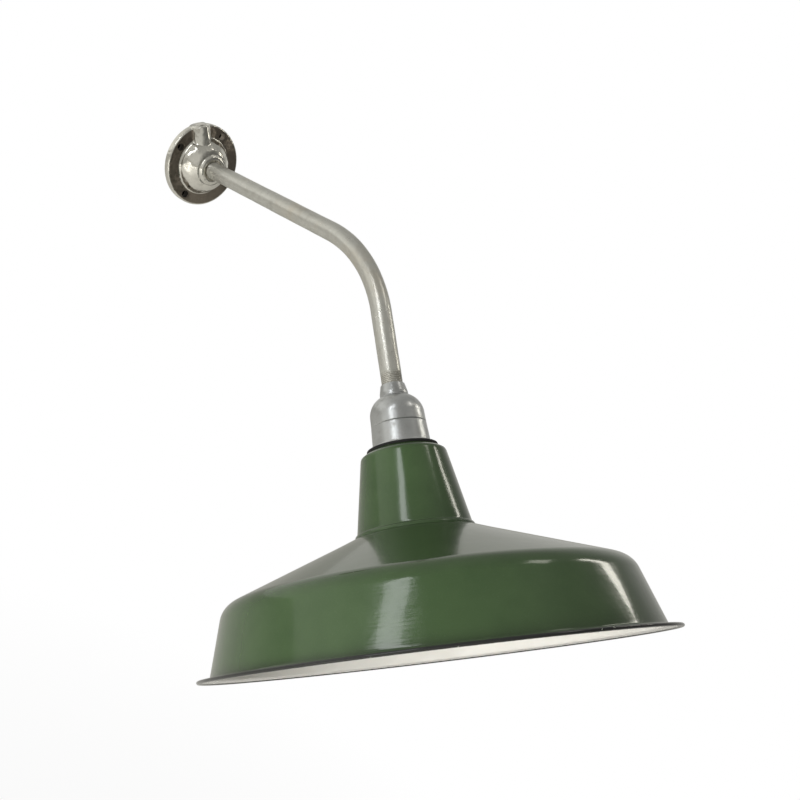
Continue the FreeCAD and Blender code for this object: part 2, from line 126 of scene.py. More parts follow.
class Graph:
    """A node tree, with one method that adds any node to it."""

    def __init__(self, tree):
        self.tree = tree

    def node(self, kind, settings=None, inputs=None, output=0):
        """Adds a node, its settings first and then its inputs by name or number, and gives one output."""
        node = self.tree.nodes.new(kind)
        for name, value in (settings or {}).items():
            setattr(node, name, value)
        for name, value in (inputs or {}).items():
            if isinstance(value, Number):
                self.tree.links.new(value.socket, node.inputs[name])
            else:
                node.inputs[name].default_value = value
        return Number(self.tree, node.outputs[output]) if node.outputs else None

    def blend(self, share, under, over):
        """Colour that goes from under to over as share goes from 0 to 1."""
        values = {0: share, 6: under, 7: over}
        values = {k: (*v, 1.0) if isinstance(v, tuple) else v for k, v in values.items()}
        return self.node("ShaderNodeMix", {"data_type": "RGBA"}, values, output=2)

    def ray(self, kind):
        """1 on rays of one kind: Camera, Glossy or Transmission."""
        return self.node("ShaderNodeLightPath", output=f"Is {kind} Ray")


class Finish(Graph):
    """A material with one Principled shader, whose patterns lie on the piece's own coordinates."""

    def __init__(self, name, **constants):
        self.material = bpy.data.materials.new(name)
        self.material.use_nodes = True
        super().__init__(self.material.node_tree)
        self.shader = self.tree.nodes["Principled BSDF"]
        for socket, value in constants.items():
            self.shader.inputs[socket.replace("_", " ")].default_value = value
        self.place = self.node("ShaderNodeTexCoord", output="Object")

    def noise(self, scale, detail=3.0, roughness=0.55, at=None):
        """Cloudy noise from 0 to 1 on the piece's own coordinates, or on those that at gives."""
        return self.node(
            "ShaderNodeTexNoise", None,
            {"Vector": at or self.place, "Scale": scale, "Detail": detail, "Roughness": roughness})

    def stretched(self, place, scale):
        """Coordinates scaled along each axis, for streaks along a piece or round it."""
        return self.node("ShaderNodeMapping", None, {"Vector": place, "Scale": scale})

    def bump(self, height, distance, strength, under=None):
        """Bump of the given depth in metres, on top of the bump under it."""
        inputs = {"Height": height, "Distance": distance, "Strength": strength}
        if under:
            inputs["Normal"] = under
        return self.node("ShaderNodeBump", None, inputs)

    def feed(self, **sockets):
        """Links values to the shader's sockets, and gives the finished material."""
        for name, value in sockets.items():
            self.tree.links.new(value.socket, self.shader.inputs[name.replace("_", " ")])
        return self.material


def darker(colour, share):
    """The colour with each of its parts times share."""
    return tuple(share * c for c in colour)


def cast_aluminium(metal, bright, roughness, lumps, height, dull=None, dark=None):
    """Cast and buffed aluminium: soft lumps left by buffing, fine grain, and grime in patches. The lumps have
    their noise scale in lumps and their depth in metres in height. The masks dull and dark say where the
    casting was left unpolished and where painted shade makes it nearly black."""
    cloud = metal.noise(38.0, 3.0)
    grain = metal.noise(900.0, 2.0)
    grime = metal.noise(120.0, 5.0, 0.7).between(0.52, 0.75)
    tone = metal.blend(cloud.between(0.35, 0.7), darker(bright, 0.80), bright)
    colour = metal.blend(grime * 0.35, tone, GRIME)
    shine = grime * 0.15 + cloud * 0.10 + grain * 0.05 + (roughness - 0.08)
    if dull:
        colour = metal.blend(dull, colour, MACHINED)
        shine = shine + dull * 0.20
    # Painted shade: where the dark mask is 1, the colour is nearly black.
    if dark:
        colour = metal.blend(dark, colour, PAINTED_HOLE_SHADE)
        shine = shine + dark * 0.5
    lumpy = metal.bump(metal.noise(lumps, 2.0, 0.45), height, 0.60)
    fine = metal.bump(grain, 0.00002, 0.5, lumpy)
    return metal.feed(Base_Color=colour, Roughness=shine, Normal=fine)


casting = Finish("polished_casting", Metallic=1.0)
flat = casting.node("ShaderNodeVectorMath", {"operation": "MULTIPLY"}, {0: casting.place, 1: (1.0, 0.0, 1.0)})
from_axis = casting.node("ShaderNodeVectorMath", {"operation": "LENGTH"}, {0: flat}, output=1)
from_wall = casting.node("ShaderNodeSeparateXYZ", None, {0: casting.place}, output=1) * -1.0
# The machined ring ends at the dome, the bright rim and the foot of the boss.
ring_face = from_axis.past(RING_IN, RING_EDGE) * (1.0 - from_axis.past(RING_OUT, RING_EDGE))
ring_face = ring_face * (1.0 - from_wall.past(RING_FRONT, FRONT_EDGE))
# Painted shade: three of the four screw holes are coloured nearly black inside.
# The first, near the top, keeps the metal's colour.
painted_hole_shade = 0.0
for quarter in (1, 2, 3):
    turn = FIRST_HOLE + math.radians(90 * quarter)
    spot = (HOLE_CIRCLE * math.sin(turn), 0.0, HOLE_CIRCLE * math.cos(turn))
    away = casting.node("ShaderNodeVectorMath", {"operation": "DISTANCE"}, {0: flat, 1: spot}, output=1)
    painted_hole_shade = 1.0 - away.past(HOLE_R, HOLE_EDGE) + painted_hole_shade
buffed = cast_aluminium(
    casting, (0.93, 0.91, 0.84), 0.17, lumps=62.0, height=0.0042, dull=ring_face, dark=painted_hole_shade)
smooth_copy("wall_flange", "flange", buffed)

# ---------------------------------------------------------------------------
# Lock screws: one lies in the flange's boss and stops the arm from turning, one is in the holder's
# hub and stops the shade. Plated steel grub screws with a screwdriver slot.

ZINC_PLATE = (0.55, 0.54, 0.50)


def plated_steel(name):
    """Zinc plate on steel: fairly bright, and duller in small blotches."""
    metal = Finish(name, Metallic=1.0)
    dull = metal.noise(260.0, 4.0, 0.65)
    tone = metal.blend(dull.between(0.45, 0.75), ZINC_PLATE, darker(ZINC_PLATE, 0.55))
    return metal.feed(
        Base_Color=tone, Roughness=dull * 0.25 + 0.23,
        Normal=metal.bump(metal.noise(1400.0, 2.0), 0.00005, 0.4))


screw_steel = plated_steel("plated_screw")
smooth_copy("arm_lock_screw", "flange", screw_steel)
smooth_copy("holder_lock_screw", "head", screw_steel)

# ---------------------------------------------------------------------------
# Arm: half-inch galvanised steel pipe, bent once, with a cut thread at both ends. It screws into the
# flange and carries the holder on its lower end. Its line is measured in s, from the wall.

BEND = math.radians(46.0)
BEND_R, FIRST_LEG, SECOND_LEG = 0.160, 0.271, 0.078
PIPE_R, PIPE_BORE_R, INSET = 0.01065, 0.0079, 0.0001
PIPE_START, PIPE_GRIP = 0.0095, 0.013
THREAD_PITCH, THREAD_DEPTH, RUNOUT = 0.001814, 0.0004, 0.004
FLANGE_THREAD_END, THREAD_ABOVE_HOLDER = 0.0415, 0.0135
THREAD_STEP, THREAD_MARGIN = 0.00022, 0.002
PLAIN_ROWS, BORE_ROWS, PIPE_COLUMNS = 190, 120, 96
ZINC_GREY, ZINC_PALE = (0.61, 0.605, 0.56), (0.75, 0.745, 0.695)
# The last of these is the thread's colour: grime, and painted shade in its grooves.
TAN_STAIN, GREY_SCUFF, THREAD_GRIME_AND_SHADE = (0.62, 0.53, 0.40), (0.36, 0.345, 0.30), (0.17, 0.14, 0.10)
ACROSS = np.array([1.0, 0.0, 0.0])
DOWN = np.array([0.0, -math.cos(BEND), -math.sin(BEND)])
CORNER = np.array([0.0, -FIRST_LEG - BEND_R * math.tan(BEND / 2), 0.0])
TOP = CORNER + DOWN * (BEND_R * math.tan(BEND / 2) + SECOND_LEG)


def closed_skin(name, points, body, material, replaced, groove=None):
    """Mesh from a grid of points [row, column, xyz] whose rows and columns both close on themselves. Faces
    are turned outwards by the sign of the enclosed volume, the UV map counts columns and rows from 0 to 1,
    and groove is kept as an attribute that says how deep in a thread each point lies."""
    rows, columns = points.shape[:2]
    i, j = np.meshgrid(np.arange(rows), np.arange(columns), indexing="ij")
    i2, j2 = (i + 1) % rows, (j + 1) % columns
    corners = [i * columns + j, i2 * columns + j, i2 * columns + j2, i * columns + j2]
    quads = np.stack(corners, -1).reshape(-1, 4)
    flat = points.reshape(-1, 3)
    a, b, c, d = (flat[quads[:, k]] for k in range(4))
    volume = np.einsum("ij,ij->", a, np.cross(b, c)) + np.einsum("ij,ij->", a, np.cross(c, d))
    across = np.stack([j, j, j + 1, j + 1], -1).reshape(-1, 4) / columns
    along = np.stack([i, i + 1, i + 1, i], -1).reshape(-1, 4) / rows
    if volume < 0:
        quads, across, along = quads[:, ::-1], across[:, ::-1], along[:, ::-1]
    mesh = bpy.data.meshes.new(name)
    mesh.vertices.add(len(flat))
    mesh.vertices.foreach_set("co", flat.ravel().astype(np.float32))
    mesh.loops.add(quads.size)
    mesh.loops.foreach_set("vertex_index", quads.ravel().astype(np.int32))
    mesh.polygons.add(len(quads))
    mesh.polygons.foreach_set("loop_start", np.arange(0, quads.size, 4, dtype=np.int32))
    mesh.update(calc_edges=True)
    layer = mesh.uv_layers.new(name="UVMap")
    layer.data.foreach_set("uv", np.stack([across, along], -1).ravel().astype(np.float32))
    if groove is not None:
        depths = mesh.attributes.new("groove", "FLOAT", "POINT")
        depths.data.foreach_set("value", groove.ravel().astype(np.float32))
    mesh.shade_smooth()
    mesh.materials.append(material)
    piece = bpy.data.objects.new(name, mesh)
    bpy.context.scene.collection.objects.link(piece)
    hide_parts(*replaced)
    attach(piece, body)


def arm_line(s):
    """Point and outward side of the arm's centre line at a distance s from the wall: a straight leg, an arc
    of the bend's radius and a straight leg."""
    turn = np.clip((s - FIRST_LEG) / BEND_R, 0.0, BEND)
    y = -np.minimum(s, FIRST_LEG) - BEND_R * np.sin(turn)
    z = -BEND_R * (1 - np.cos(turn))
    rest = np.maximum(s - FIRST_LEG - BEND_R * BEND, 0.0)
    y, z = y - rest * math.cos(BEND), z - rest * math.sin(BEND)
    centre = np.stack([np.zeros_like(s), y, z], -1)
    side = np.stack([np.zeros_like(s), -np.sin(turn), np.cos(turn)], -1)
    return centre, side


def pipe_points(s, turn, radius):
    """Points at an angle turn round the arm's line and at a radius from it."""
    centre, side = arm_line(s)
    return centre + radius * (np.cos(turn)[..., None] * ACROSS + np.sin(turn)[..., None] * side)


def galvanised(name):
    """Weathered zinc on steel pipe: pale grey with a faint spangle, tan stains, lengthwise scuffs, and
    thread grooves darkened by grime and painted shade.
    """
    zinc = Finish(name, Metallic=0.85)
    spangle = zinc.node("ShaderNodeTexVoronoi", None, {"Vector": zinc.place, "Scale": 210.0}, output="Color")
    grey = zinc.node("ShaderNodeSeparateColor", None, {0: spangle})
    stain = zinc.noise(16.0, 5.0, 0.6).between(0.50, 0.72)
    patch = zinc.noise(48.0, 4.0, 0.6)
    tone = zinc.blend(grey * 0.35, ZINC_GREY, ZINC_PALE)
    tone = zinc.blend(stain * 0.45, tone, TAN_STAIN)
    tone = zinc.blend(patch.between(0.56, 0.78) * 0.45, tone, GREY_SCUFF)
    # Thread grooves darker with their depth: partly grime, partly painted shade.
    cut = zinc.node("ShaderNodeAttribute", {"attribute_name": "groove"}, output="Fac")
    tone = zinc.blend(cut * 0.60, tone, THREAD_GRIME_AND_SHADE)
    scuff = zinc.noise(700.0, 3.0, at=zinc.stretched(zinc.place, (1.0, 0.12, 1.0)))
    rough = zinc.bump(zinc.noise(420.0, 4.0, 0.6), 0.00022, 0.55)
    shine = patch * 0.20 + scuff * 0.12 + 0.15
    return zinc.feed(Base_Color=tone, Roughness=shine, Normal=zinc.bump(scuff, 0.00006, 0.5, rough))


arm_end = FIRST_LEG + BEND_R * BEND + SECOND_LEG + PIPE_GRIP
holder_thread = arm_end - PIPE_GRIP - THREAD_ABOVE_HOLDER
plain_from, plain_to = FLANGE_THREAD_END + THREAD_MARGIN, holder_thread - THREAD_MARGIN
stations = np.unique(np.concatenate([
    np.arange(PIPE_START, plain_from, THREAD_STEP), np.linspace(plain_from, plain_to, PLAIN_ROWS),
    np.arange(plain_to, arm_end, THREAD_STEP), [arm_end]]))
theta = np.linspace(0, 2 * np.pi, PIPE_COLUMNS, endpoint=False)
s, turn = np.meshgrid(stations, theta, indexing="ij")
# The thread is a cosine that turns once a pitch and runs out over its last few millimetres. Two slow
# waves round the pipe keep its outline from being perfect.
threaded = np.clip((FLANGE_THREAD_END - s) / RUNOUT, 0, 1) + np.clip((s - holder_thread) / RUNOUT, 0, 1)
groove = (0.5 + 0.5 * np.cos(2 * np.pi * s / THREAD_PITCH - turn)) * THREAD_DEPTH * threaded
uneven = 0.00006 * np.sin(s * 61 + 2 * turn) + 0.00004 * np.sin(s * 173 + 3 * turn + 1)
outer = pipe_points(s, turn, (PIPE_R - INSET - groove + uneven)[..., None])
s, turn = np.meshgrid(np.linspace(arm_end, PIPE_START, BORE_ROWS), theta, indexing="ij")
closed_skin(
    "arm_pipe_look", np.concatenate([outer, pipe_points(s, turn, PIPE_BORE_R)]), "arm",
    galvanised("galvanised_pipe"), ("arm_pipe",), np.concatenate([groove / THREAD_DEPTH, np.zeros(s.shape)]))

# ---------------------------------------------------------------------------
# Wiring in the arm: a rubber-sheathed cable held by a plastic bush at each end of the pipe, with
# three short cores that wait in the flange's hollow back for the house wiring.


def moulded(name, colour, roughness):
    """Moulded rubber or plastic with a soft grain and dust."""
    skin = Finish(name)
    grain = skin.noise(500.0, 3.0)
    dust = skin.noise(60.0, 4.0).between(0.45, 0.8)
    dusty = tuple(c + 0.02 for c in darker(colour, 0.7))
    return skin.feed(
        Base_Color=skin.blend(dust * 0.25, colour, dusty), Roughness=grain * 0.15 + (roughness - 0.07),
        Normal=skin.bump(grain, 0.0001, 0.4))


black_rubber = moulded("black_rubber", (0.008, 0.008, 0.008), 0.70)
black_plastic = moulded("black_plastic", (0.025, 0.025, 0.025), 0.45)
for node, slot_name, material in (
        ("pipe_bushes", "black_plastic", black_plastic), ("supply_cable", "black_rubber", black_rubber),
        ("supply_tails", "black_core", black_plastic)):
    smooth_copy(node, "arm", material, 50.0)

# ---------------------------------------------------------------------------
# Holder cap: a satin aluminium bell with a flared hub, screwed on the arm's end. It rests on the
# holder ring with a fine seam. From here on, profiles are in millimetres: r from the lamp's slanted
# axis, and t along it from the cap's top.

SHOULDER_R, CAP_WALL = 21.3, 2.3
SHOULDER_CENTRE = (26.4 - SHOULDER_R, 32.0)
MILLIMETRE = 0.001
ARC_PIECE, HOLDER_COLUMNS = 8, 180


def arc_through(start, middle, end, count):
    """Points of the circle through three (r, t) points, from the crossing of two perpendicular bisectors."""
    (ax, ay), (bx, by), (cx, cy) = start, middle, end
    d = 2 * (ax * (by - cy) + bx * (cy - ay) + cx * (ay - by))
    ux = ((ax**2 + ay**2) * (by - cy) + (bx**2 + by**2) * (cy - ay) + (cx**2 + cy**2) * (ay - by)) / d
    uy = ((ax**2 + ay**2) * (cx - bx) + (bx**2 + by**2) * (ax - cx) + (cx**2 + cy**2) * (bx - ax)) / d
    first, mid, last = (math.atan2(y - uy, x - ux) for x, y in (start, middle, end))
    mid = first + (mid - first + math.pi) % (2 * math.pi) - math.pi
    last = mid + (last - mid + math.pi) % (2 * math.pi) - math.pi
    angles = np.linspace(first, last, count)
    radius = math.hypot(ax - ux, ay - uy)
    return np.stack([ux + radius * np.cos(angles), uy + radius * np.sin(angles)], -1)


def rounded(corners, step):
    """Half section through (r, t) or (r, t, corner radius), as close points: straight runs cut at step, and
    an arc of about ARC_PIECE degrees a piece at each corner that has a radius."""
    made = [np.array(corners[0][:2], float)]
    for k in range(1, len(corners)):
        at = np.array(corners[k][:2], float)
        radius = corners[k][2] if len(corners[k]) > 2 and k < len(corners) - 1 else 0.0
        begin, arc = at, []
        if radius:
            into = at - np.array(corners[k - 1][:2], float)
            out = np.array(corners[k + 1][:2], float) - at
            into, out = into / np.linalg.norm(into), out / np.linalg.norm(out)
            angle = math.acos(float(np.clip(into @ out, -1, 1)))
            reach = radius * math.tan(angle / 2)
            begin, finish = at - into * reach, at + out * reach
            bulge = at + (out - into) / np.linalg.norm(out - into) * (radius / math.cos(angle / 2) - radius)
            arc = arc_through(begin, bulge, finish, max(3, int(math.degrees(angle) / ARC_PIECE) + 2))[1:]
        start = made[-1]
        pieces = max(1, int(math.ceil(np.linalg.norm(begin - start) / step)))
        made += [start + (begin - start) * q / pieces for q in range(1, pieces + 1)]
        made += list(arc)
    return np.array(made)


def turned_points(section, columns, swell=None):
    """Half section (r, t) carried round the lamp's axis; swell(angle, row) moves the surface along its own
    normal, in millimetres."""
    angle, row = np.meshgrid(np.linspace(0, 2 * np.pi, columns, endpoint=False), np.arange(len(section)))
    r, t = section[row, 0], section[row, 1]
    if swell is not None:
        slope = np.gradient(section, axis=0)
        slope /= np.maximum(np.linalg.norm(slope, axis=1, keepdims=True), 1e-9)
        push = swell(angle, row)
        r, t = r + push * slope[row, 1], t - push * slope[row, 0]
    ring = np.cos(angle)[..., None] * ACROSS + np.sin(angle)[..., None] * np.cross(DOWN, ACROSS)
    return TOP + (DOWN * t[..., None] + ring * r[..., None]) * MILLIMETRE


def on_shoulder(t, depth=0.0):
    """Point of the cap's round shoulder at t, or at a depth under it."""
    return SHOULDER_CENTRE[0] + math.sqrt((SHOULDER_R - depth) ** 2 - (SHOULDER_CENTRE[1] - t) ** 2), t


cap_section = np.concatenate([
    rounded([
        (10.75, 14.7), (10.75, 1.0), (11.3, 0.0, 0.3), (11.7, 0.0, 0.3), (12.0, 0.5, 0.4), (13.8, 8.6, 1.2),
        (13.9, 11.6, 0.8), (13.7, 12.7, 0.5), (14.6, 13.1, 0.4), on_shoulder(13.5)], 0.6),
    arc_through(on_shoulder(13.5), on_shoulder(20.0), on_shoulder(32.0), 40)[1:],
    rounded([
        on_shoulder(32.0), (26.7, 41.2, 0.3), (26.2, 41.9, 0.2), (24.4, 41.9), (24.4, 37.0),
        *(on_shoulder(t, CAP_WALL) for t in (32.0, 25.5, 20.0, 14.7))], 0.9)[1:]])
holder_metal = cast_aluminium(
    Finish("satin_casting", Metallic=1.0), (0.68, 0.695, 0.70), 0.31, lumps=40.0, height=0.0003)
closed_skin(
    "holder_cap_look", turned_points(cap_section, HOLDER_COLUMNS), "head", holder_metal,
    ("holder_cap",))

# ---------------------------------------------------------------------------
# Holder ring: the lower half of the holder, the same casting with a bead at its foot, and inside it
# the threaded spigot that passes through the shade's neck.

SPIGOT_PITCH, SPIGOT_DEPTH = 1.5, 0.5
SPIGOT_FROM, SPIGOT_TO = 66.0, 78.6
ring_section = rounded([
    (23.4, 37.5), (24.3, 37.5), (24.3, 42.0), (26.3, 42.0, 0.25), (26.8, 42.6, 0.3), (27.9, 61.6, 0.8),
    (28.6, 62.9, 0.7), (28.2, 64.2, 0.3), (22.0, 64.2), (22.0, 78.4, 0.3), (21.4, 79.0, 0.2), (19.7, 79.0),
    (19.7, 50.0), (21.6, 50.0), (21.6, 61.5), (23.4, 61.5)], 0.3)


def spigot_thread(angle, row):
    """Cut thread: the surface falls and rises with t and turns once a pitch, on the spigot's outside only."""
    r, t = ring_section[row, 0], ring_section[row, 1]
    on_spigot = (r > 21.5) & (t > SPIGOT_FROM) & (t < SPIGOT_TO)
    cut = SPIGOT_DEPTH / 2 * (np.cos(2 * np.pi * t / SPIGOT_PITCH - angle) - 1)
    return np.where(on_spigot, cut, 0.0)


closed_skin(
    "holder_ring_look", turned_points(ring_section, HOLDER_COLUMNS, spigot_thread), "head",
    holder_metal, ("holder_ring",))

# ---------------------------------------------------------------------------
# Neck gasket: a flat ring of black rubber that lies between the holder and the enamel. The ring nut
# squeezes it, so that its faces are a little uneven.

gasket_section = rounded(
    [(22.3, 64.25), (34.0, 64.25, 0.7), (34.3, 65.6, 0.7), (34.1, 67.15, 0.7), (22.3, 67.15)], 0.5)


def squeezed(angle, row):
    """Five waves round the rubber, a tenth of a millimetre high, all inside its section."""
    return 0.06 * (np.sin(5 * angle + row) - 1)


closed_skin(
    "neck_gasket_look", turned_points(gasket_section, HOLDER_COLUMNS, squeezed), "head",
    black_rubber, ("neck_gasket",))

# ---------------------------------------------------------------------------
# Washer and ring nut: plated steel, on the spigot inside the neck. They pull the shade up on the
# gasket.

for node in ("clamp_washer", "shade_ring_nut"):
    smooth_copy(node, "head", screw_steel)

# ---------------------------------------------------------------------------
# Shade: spun steel in two pressings, neck and dish, seamed at the neck's foot and fired together with
# green enamel outside, white inside and black on the rolled rim. The enamel lies in slight waves.

BEAD_CENTRE, BEAD_R, BEAD_POINTS = (209.5, 257.5), 1.5, 19
BEAD_TURN = np.radians(np.linspace(-80, 190, BEAD_POINTS))
SHADE_COLUMNS = 400
WAVE_COUNT, WAVE_HEIGHT, WAVE_FADE = 26, 0.05, 8.0
BLACK_FROM, WHITE_FROM, ZONE_EDGE = -14.0, 11.0, 0.5
GREEN_DEEP, GREEN, GREEN_SPECK = (0.039, 0.077, 0.026), (0.050, 0.094, 0.033), (0.115, 0.165, 0.09)
WHITE_DULL, WHITE = (0.80, 0.79, 0.74), (0.86, 0.855, 0.82)
BLACK, GROUND_COAT = (0.012, 0.013, 0.012), (0.34, 0.36, 0.30)

outside = rounded([
    (22.6, 67.25), (34.6, 67.3, 1.2), (40.6, 71.4, 2.6), (41.4, 73.4, 2.0), (53.8, 143.5, 0.8),
    (55.5, 144.4, 0.9), (56.2, 146.2, 0.8), (55.9, 147.0, 0.4), (57.6, 147.8, 1.0), (74.0, 154.5, 20.0),
    (184.0, 197.0, 20.0), (199.5, 255.5, 2.6), (208.8, 257.9)], 1.6)
bead = [(BEAD_CENTRE[0] + BEAD_R * math.cos(a), BEAD_CENTRE[1] + BEAD_R * math.sin(a)) for a in BEAD_TURN]
inside = rounded([
    (207.6, 258.3), (198.6, 256.2, 2.6), (182.6, 198.0, 19.0), (73.5, 155.8, 20.0), (53.4, 147.4, 2.0),
    (40.0, 73.2, 2.0), (39.4, 72.2, 2.0), (34.0, 68.5, 1.0), (22.6, 68.45)], 2.4)
shade_section = np.concatenate([outside, bead, inside])
along_wall = np.concatenate([[0.0], np.cumsum(np.linalg.norm(np.diff(shade_section, axis=0), axis=1))])
rim_row = len(outside) + BEAD_POINTS // 2
random = np.random.default_rng(7)
waves = [
    (random.integers(3, 34), random.uniform(4, 30), *random.uniform(0, 2 * np.pi, 2))
    for _ in range(WAVE_COUNT)]


def enamel_waves(angle, row):
    """Sum of seeded waves round and along the wall, about a tenth of a millimetre high in all. They are full
    from twice WAVE_FADE off the rim, and gone within WAVE_FADE of it."""
    reach = along_wall[row]
    away = np.clip(np.abs(reach - along_wall[rim_row]) / WAVE_FADE - 1.0, 0.0, 1.0)
    height = sum(
        np.sin(k * angle + p) * np.sin(reach / length + q) * 0.9 / k for k, length, p, q in waves)
    return (WAVE_HEIGHT * height - 0.09) * away


def enamel(name):
    """Glassy enamel: colour by the row of the section, from the UV map, with drips where two colours meet,
    chips to the ground coat at the rim, spinning lines and orange peel."""
    glass = Finish(name, IOR=1.52, Coat_Weight=0.35, Coat_Roughness=0.04)
    uv = glass.node("ShaderNodeTexCoord", output="UV")
    row = glass.node("ShaderNodeSeparateXYZ", None, {0: uv}, output=1) * float(len(shade_section))
    ragged = glass.noise(190.0, 3.0, 0.6) * 2.0 - 1.0
    on_rim = (row + ragged * 2.2).past(rim_row + BLACK_FROM, ZONE_EDGE)
    inside_now = (row + ragged * 1.2).past(rim_row + WHITE_FROM, ZONE_EDGE)
    mottle = glass.noise(30.0, 4.0)
    speck = glass.noise(1500.0, 2.0).between(0.62, 0.70)
    green = glass.blend(mottle.between(0.3, 0.7), GREEN_DEEP, GREEN)
    green = glass.blend(speck * 0.30, green, GREEN_SPECK)
    white = glass.blend(mottle.between(0.4, 0.8), WHITE_DULL, WHITE)
    chipped_rows = row.between(rim_row + BLACK_FROM - 1.0, rim_row + BLACK_FROM + 2.0)
    chip = glass.noise(230.0, 3.0, 0.6).between(0.70, 0.73) * chipped_rows
    tone = glass.blend(on_rim, green, BLACK)
    tone = glass.blend(inside_now, tone, white)
    tone = glass.blend(chip * (1.0 - inside_now), tone, GROUND_COAT)
    round_the_shade = glass.stretched(uv, (5.0, 420.0, 1.0))
    spun = glass.bump(glass.noise(1.0, 2.0, 0.5, at=round_the_shade), 0.00006, 0.5)
    peel = glass.bump(glass.noise(260.0, 2.0, 0.4), 0.00012, 0.35, spun)
    soft = glass.bump(glass.noise(55.0, 1.0, 0.4), 0.0006, 0.25, peel)
    shine = mottle * 0.06 + chip * 0.4 + speck * 0.05 + 0.12
    return glass.feed(Base_Color=tone, Roughness=shine, Normal=soft)


closed_skin(
    "shade_look", turned_points(shade_section, SHADE_COLUMNS, enamel_waves), "head",
    enamel("enamel"), ("shade_neck", "shade_dish"))

# ---------------------------------------------------------------------------
# Lampholder: a glazed porcelain body held down by a slotted brass ring, with the terminals on top
# and the earth tag and its screw in the cap.


def glazed(name):
    """Glazed porcelain: warm white, greyer in soft clouds."""
    china = Finish(name, Coat_Weight=0.4, Coat_Roughness=0.08)
    cloud = china.noise(70.0, 3.0)
    tone = china.blend(cloud.between(0.4, 0.7), (0.84, 0.82, 0.77), (0.78, 0.75, 0.68))
    return china.feed(
        Base_Color=tone, Roughness=cloud * 0.15 + 0.12, Normal=china.bump(china.noise(240.0), 0.0001, 0.3))


def brass(name):
    """Plain brass, tarnished brown in patches."""
    metal = Finish(name, Metallic=1.0)
    tarnish = metal.noise(140.0, 4.0, 0.65)
    tone = metal.blend(tarnish.between(0.4, 0.72), (0.72, 0.54, 0.26), (0.42, 0.29, 0.13))
    return metal.feed(
        Base_Color=tone, Roughness=tarnish * 0.3 + 0.16, Normal=metal.bump(metal.noise(900.0), 0.00005, 0.4))


yellow_brass = brass("brass")
smooth_copy("socket_body", "head", glazed("porcelain"))
for node in (
        "socket_retainer", "live_terminal", "neutral_terminal", "terminal_screws", "earth_tag",
        "earth_screw"):
    smooth_copy(node, "head", yellow_brass)

# ---------------------------------------------------------------------------
# Screw shell: thin brass with the lamp's rolled thread, clamped in the porcelain by two plated
# screws.

LAMP_PITCH, ROLL_DEPTH, ROLL_FROM, ROLL_FADE = 3.63, 0.45, 71.0, 3.0
SHELL_COLUMNS = 120
shell_out = rounded([(6.8, 69.0), (13.6, 69.0, 0.8), (13.6, 92.0)], 0.3)
shell_in = rounded([(13.15, 92.0), (13.15, 69.9, 0.5), (6.8, 69.8)], 0.3)
shell_section = np.concatenate([shell_out, shell_in])


def rolled_thread(angle, row):
    """Round thread of a lamp cap: both faces of the wall move in and out together, by ROLL_DEPTH, as t and
    the angle go on."""
    t = shell_section[row, 1]
    outward = np.where(row < len(shell_out), 1.0, -1.0)
    fade = np.clip((t - ROLL_FROM) / ROLL_FADE, 0, 1)
    return outward * fade * ROLL_DEPTH * (np.cos(2 * np.pi * t / LAMP_PITCH - angle) - 0.2)


closed_skin(
    "socket_shell_look", turned_points(shell_section, SHELL_COLUMNS, rolled_thread), "head",
    yellow_brass, ("socket_shell",))
smooth_copy("shell_screws", "head", screw_steel)

# ---------------------------------------------------------------------------
# Sprung contact: a brass plunger in the porcelain's pocket, with a steel coil behind it. The coil
# stands on the live terminal.

smooth_copy("centre_contact", "contact", yellow_brass)
coil = smooth_copy("contact_spring", "head", screw_steel, 60.0)
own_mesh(coil)

# ---------------------------------------------------------------------------
# Cores in the cap: black live, white neutral and green earth, each in its own plastic cover. They run
# from the cable's end to the terminals and to the earth tag.

for node, slot_name, colour in (
        ("live_lead", "black_core", (0.02, 0.02, 0.02)), ("neutral_lead", "white_core", (0.72, 0.71, 0.67)),
        ("earth_lead", "green_core", (0.04, 0.26, 0.08))):
    smooth_copy(node, "head", moulded(slot_name, colour, 0.4), 60.0)

# ---------------------------------------------------------------------------
# Floor: pale and far below the lamp. The camera sees it white, with a faint shadow under the lamp,
# and the metals and the enamel mirror it dim and a little warm.

FLOOR_Z, FLOOR_REACH = -1.3, 9
MIRRORED_FLOOR, SHADOW = 0.32, 0.10
UNDER_LAMP, SHADOW_CORE, SHADOW_END = (0.0, -0.5, FLOOR_Z), 0.3, 1.6


def stage_material(name):
    """A material with an empty node tree, and the graph to fill it."""
    material = bpy.data.materials.new(name)
    material.use_nodes = True
    material.node_tree.nodes.clear()
    return material, Graph(material.node_tree)


def stage_face(name, corners, material):
    """One flat face that belongs to the stage and not to the lamp."""
    mesh = bpy.data.meshes.new(name)
    mesh.from_pydata(corners, [], [tuple(range(len(corners)))])
    mesh.materials.append(material)
    piece = bpy.data.objects.new(name, mesh)
    bpy.context.scene.collection.objects.link(piece)


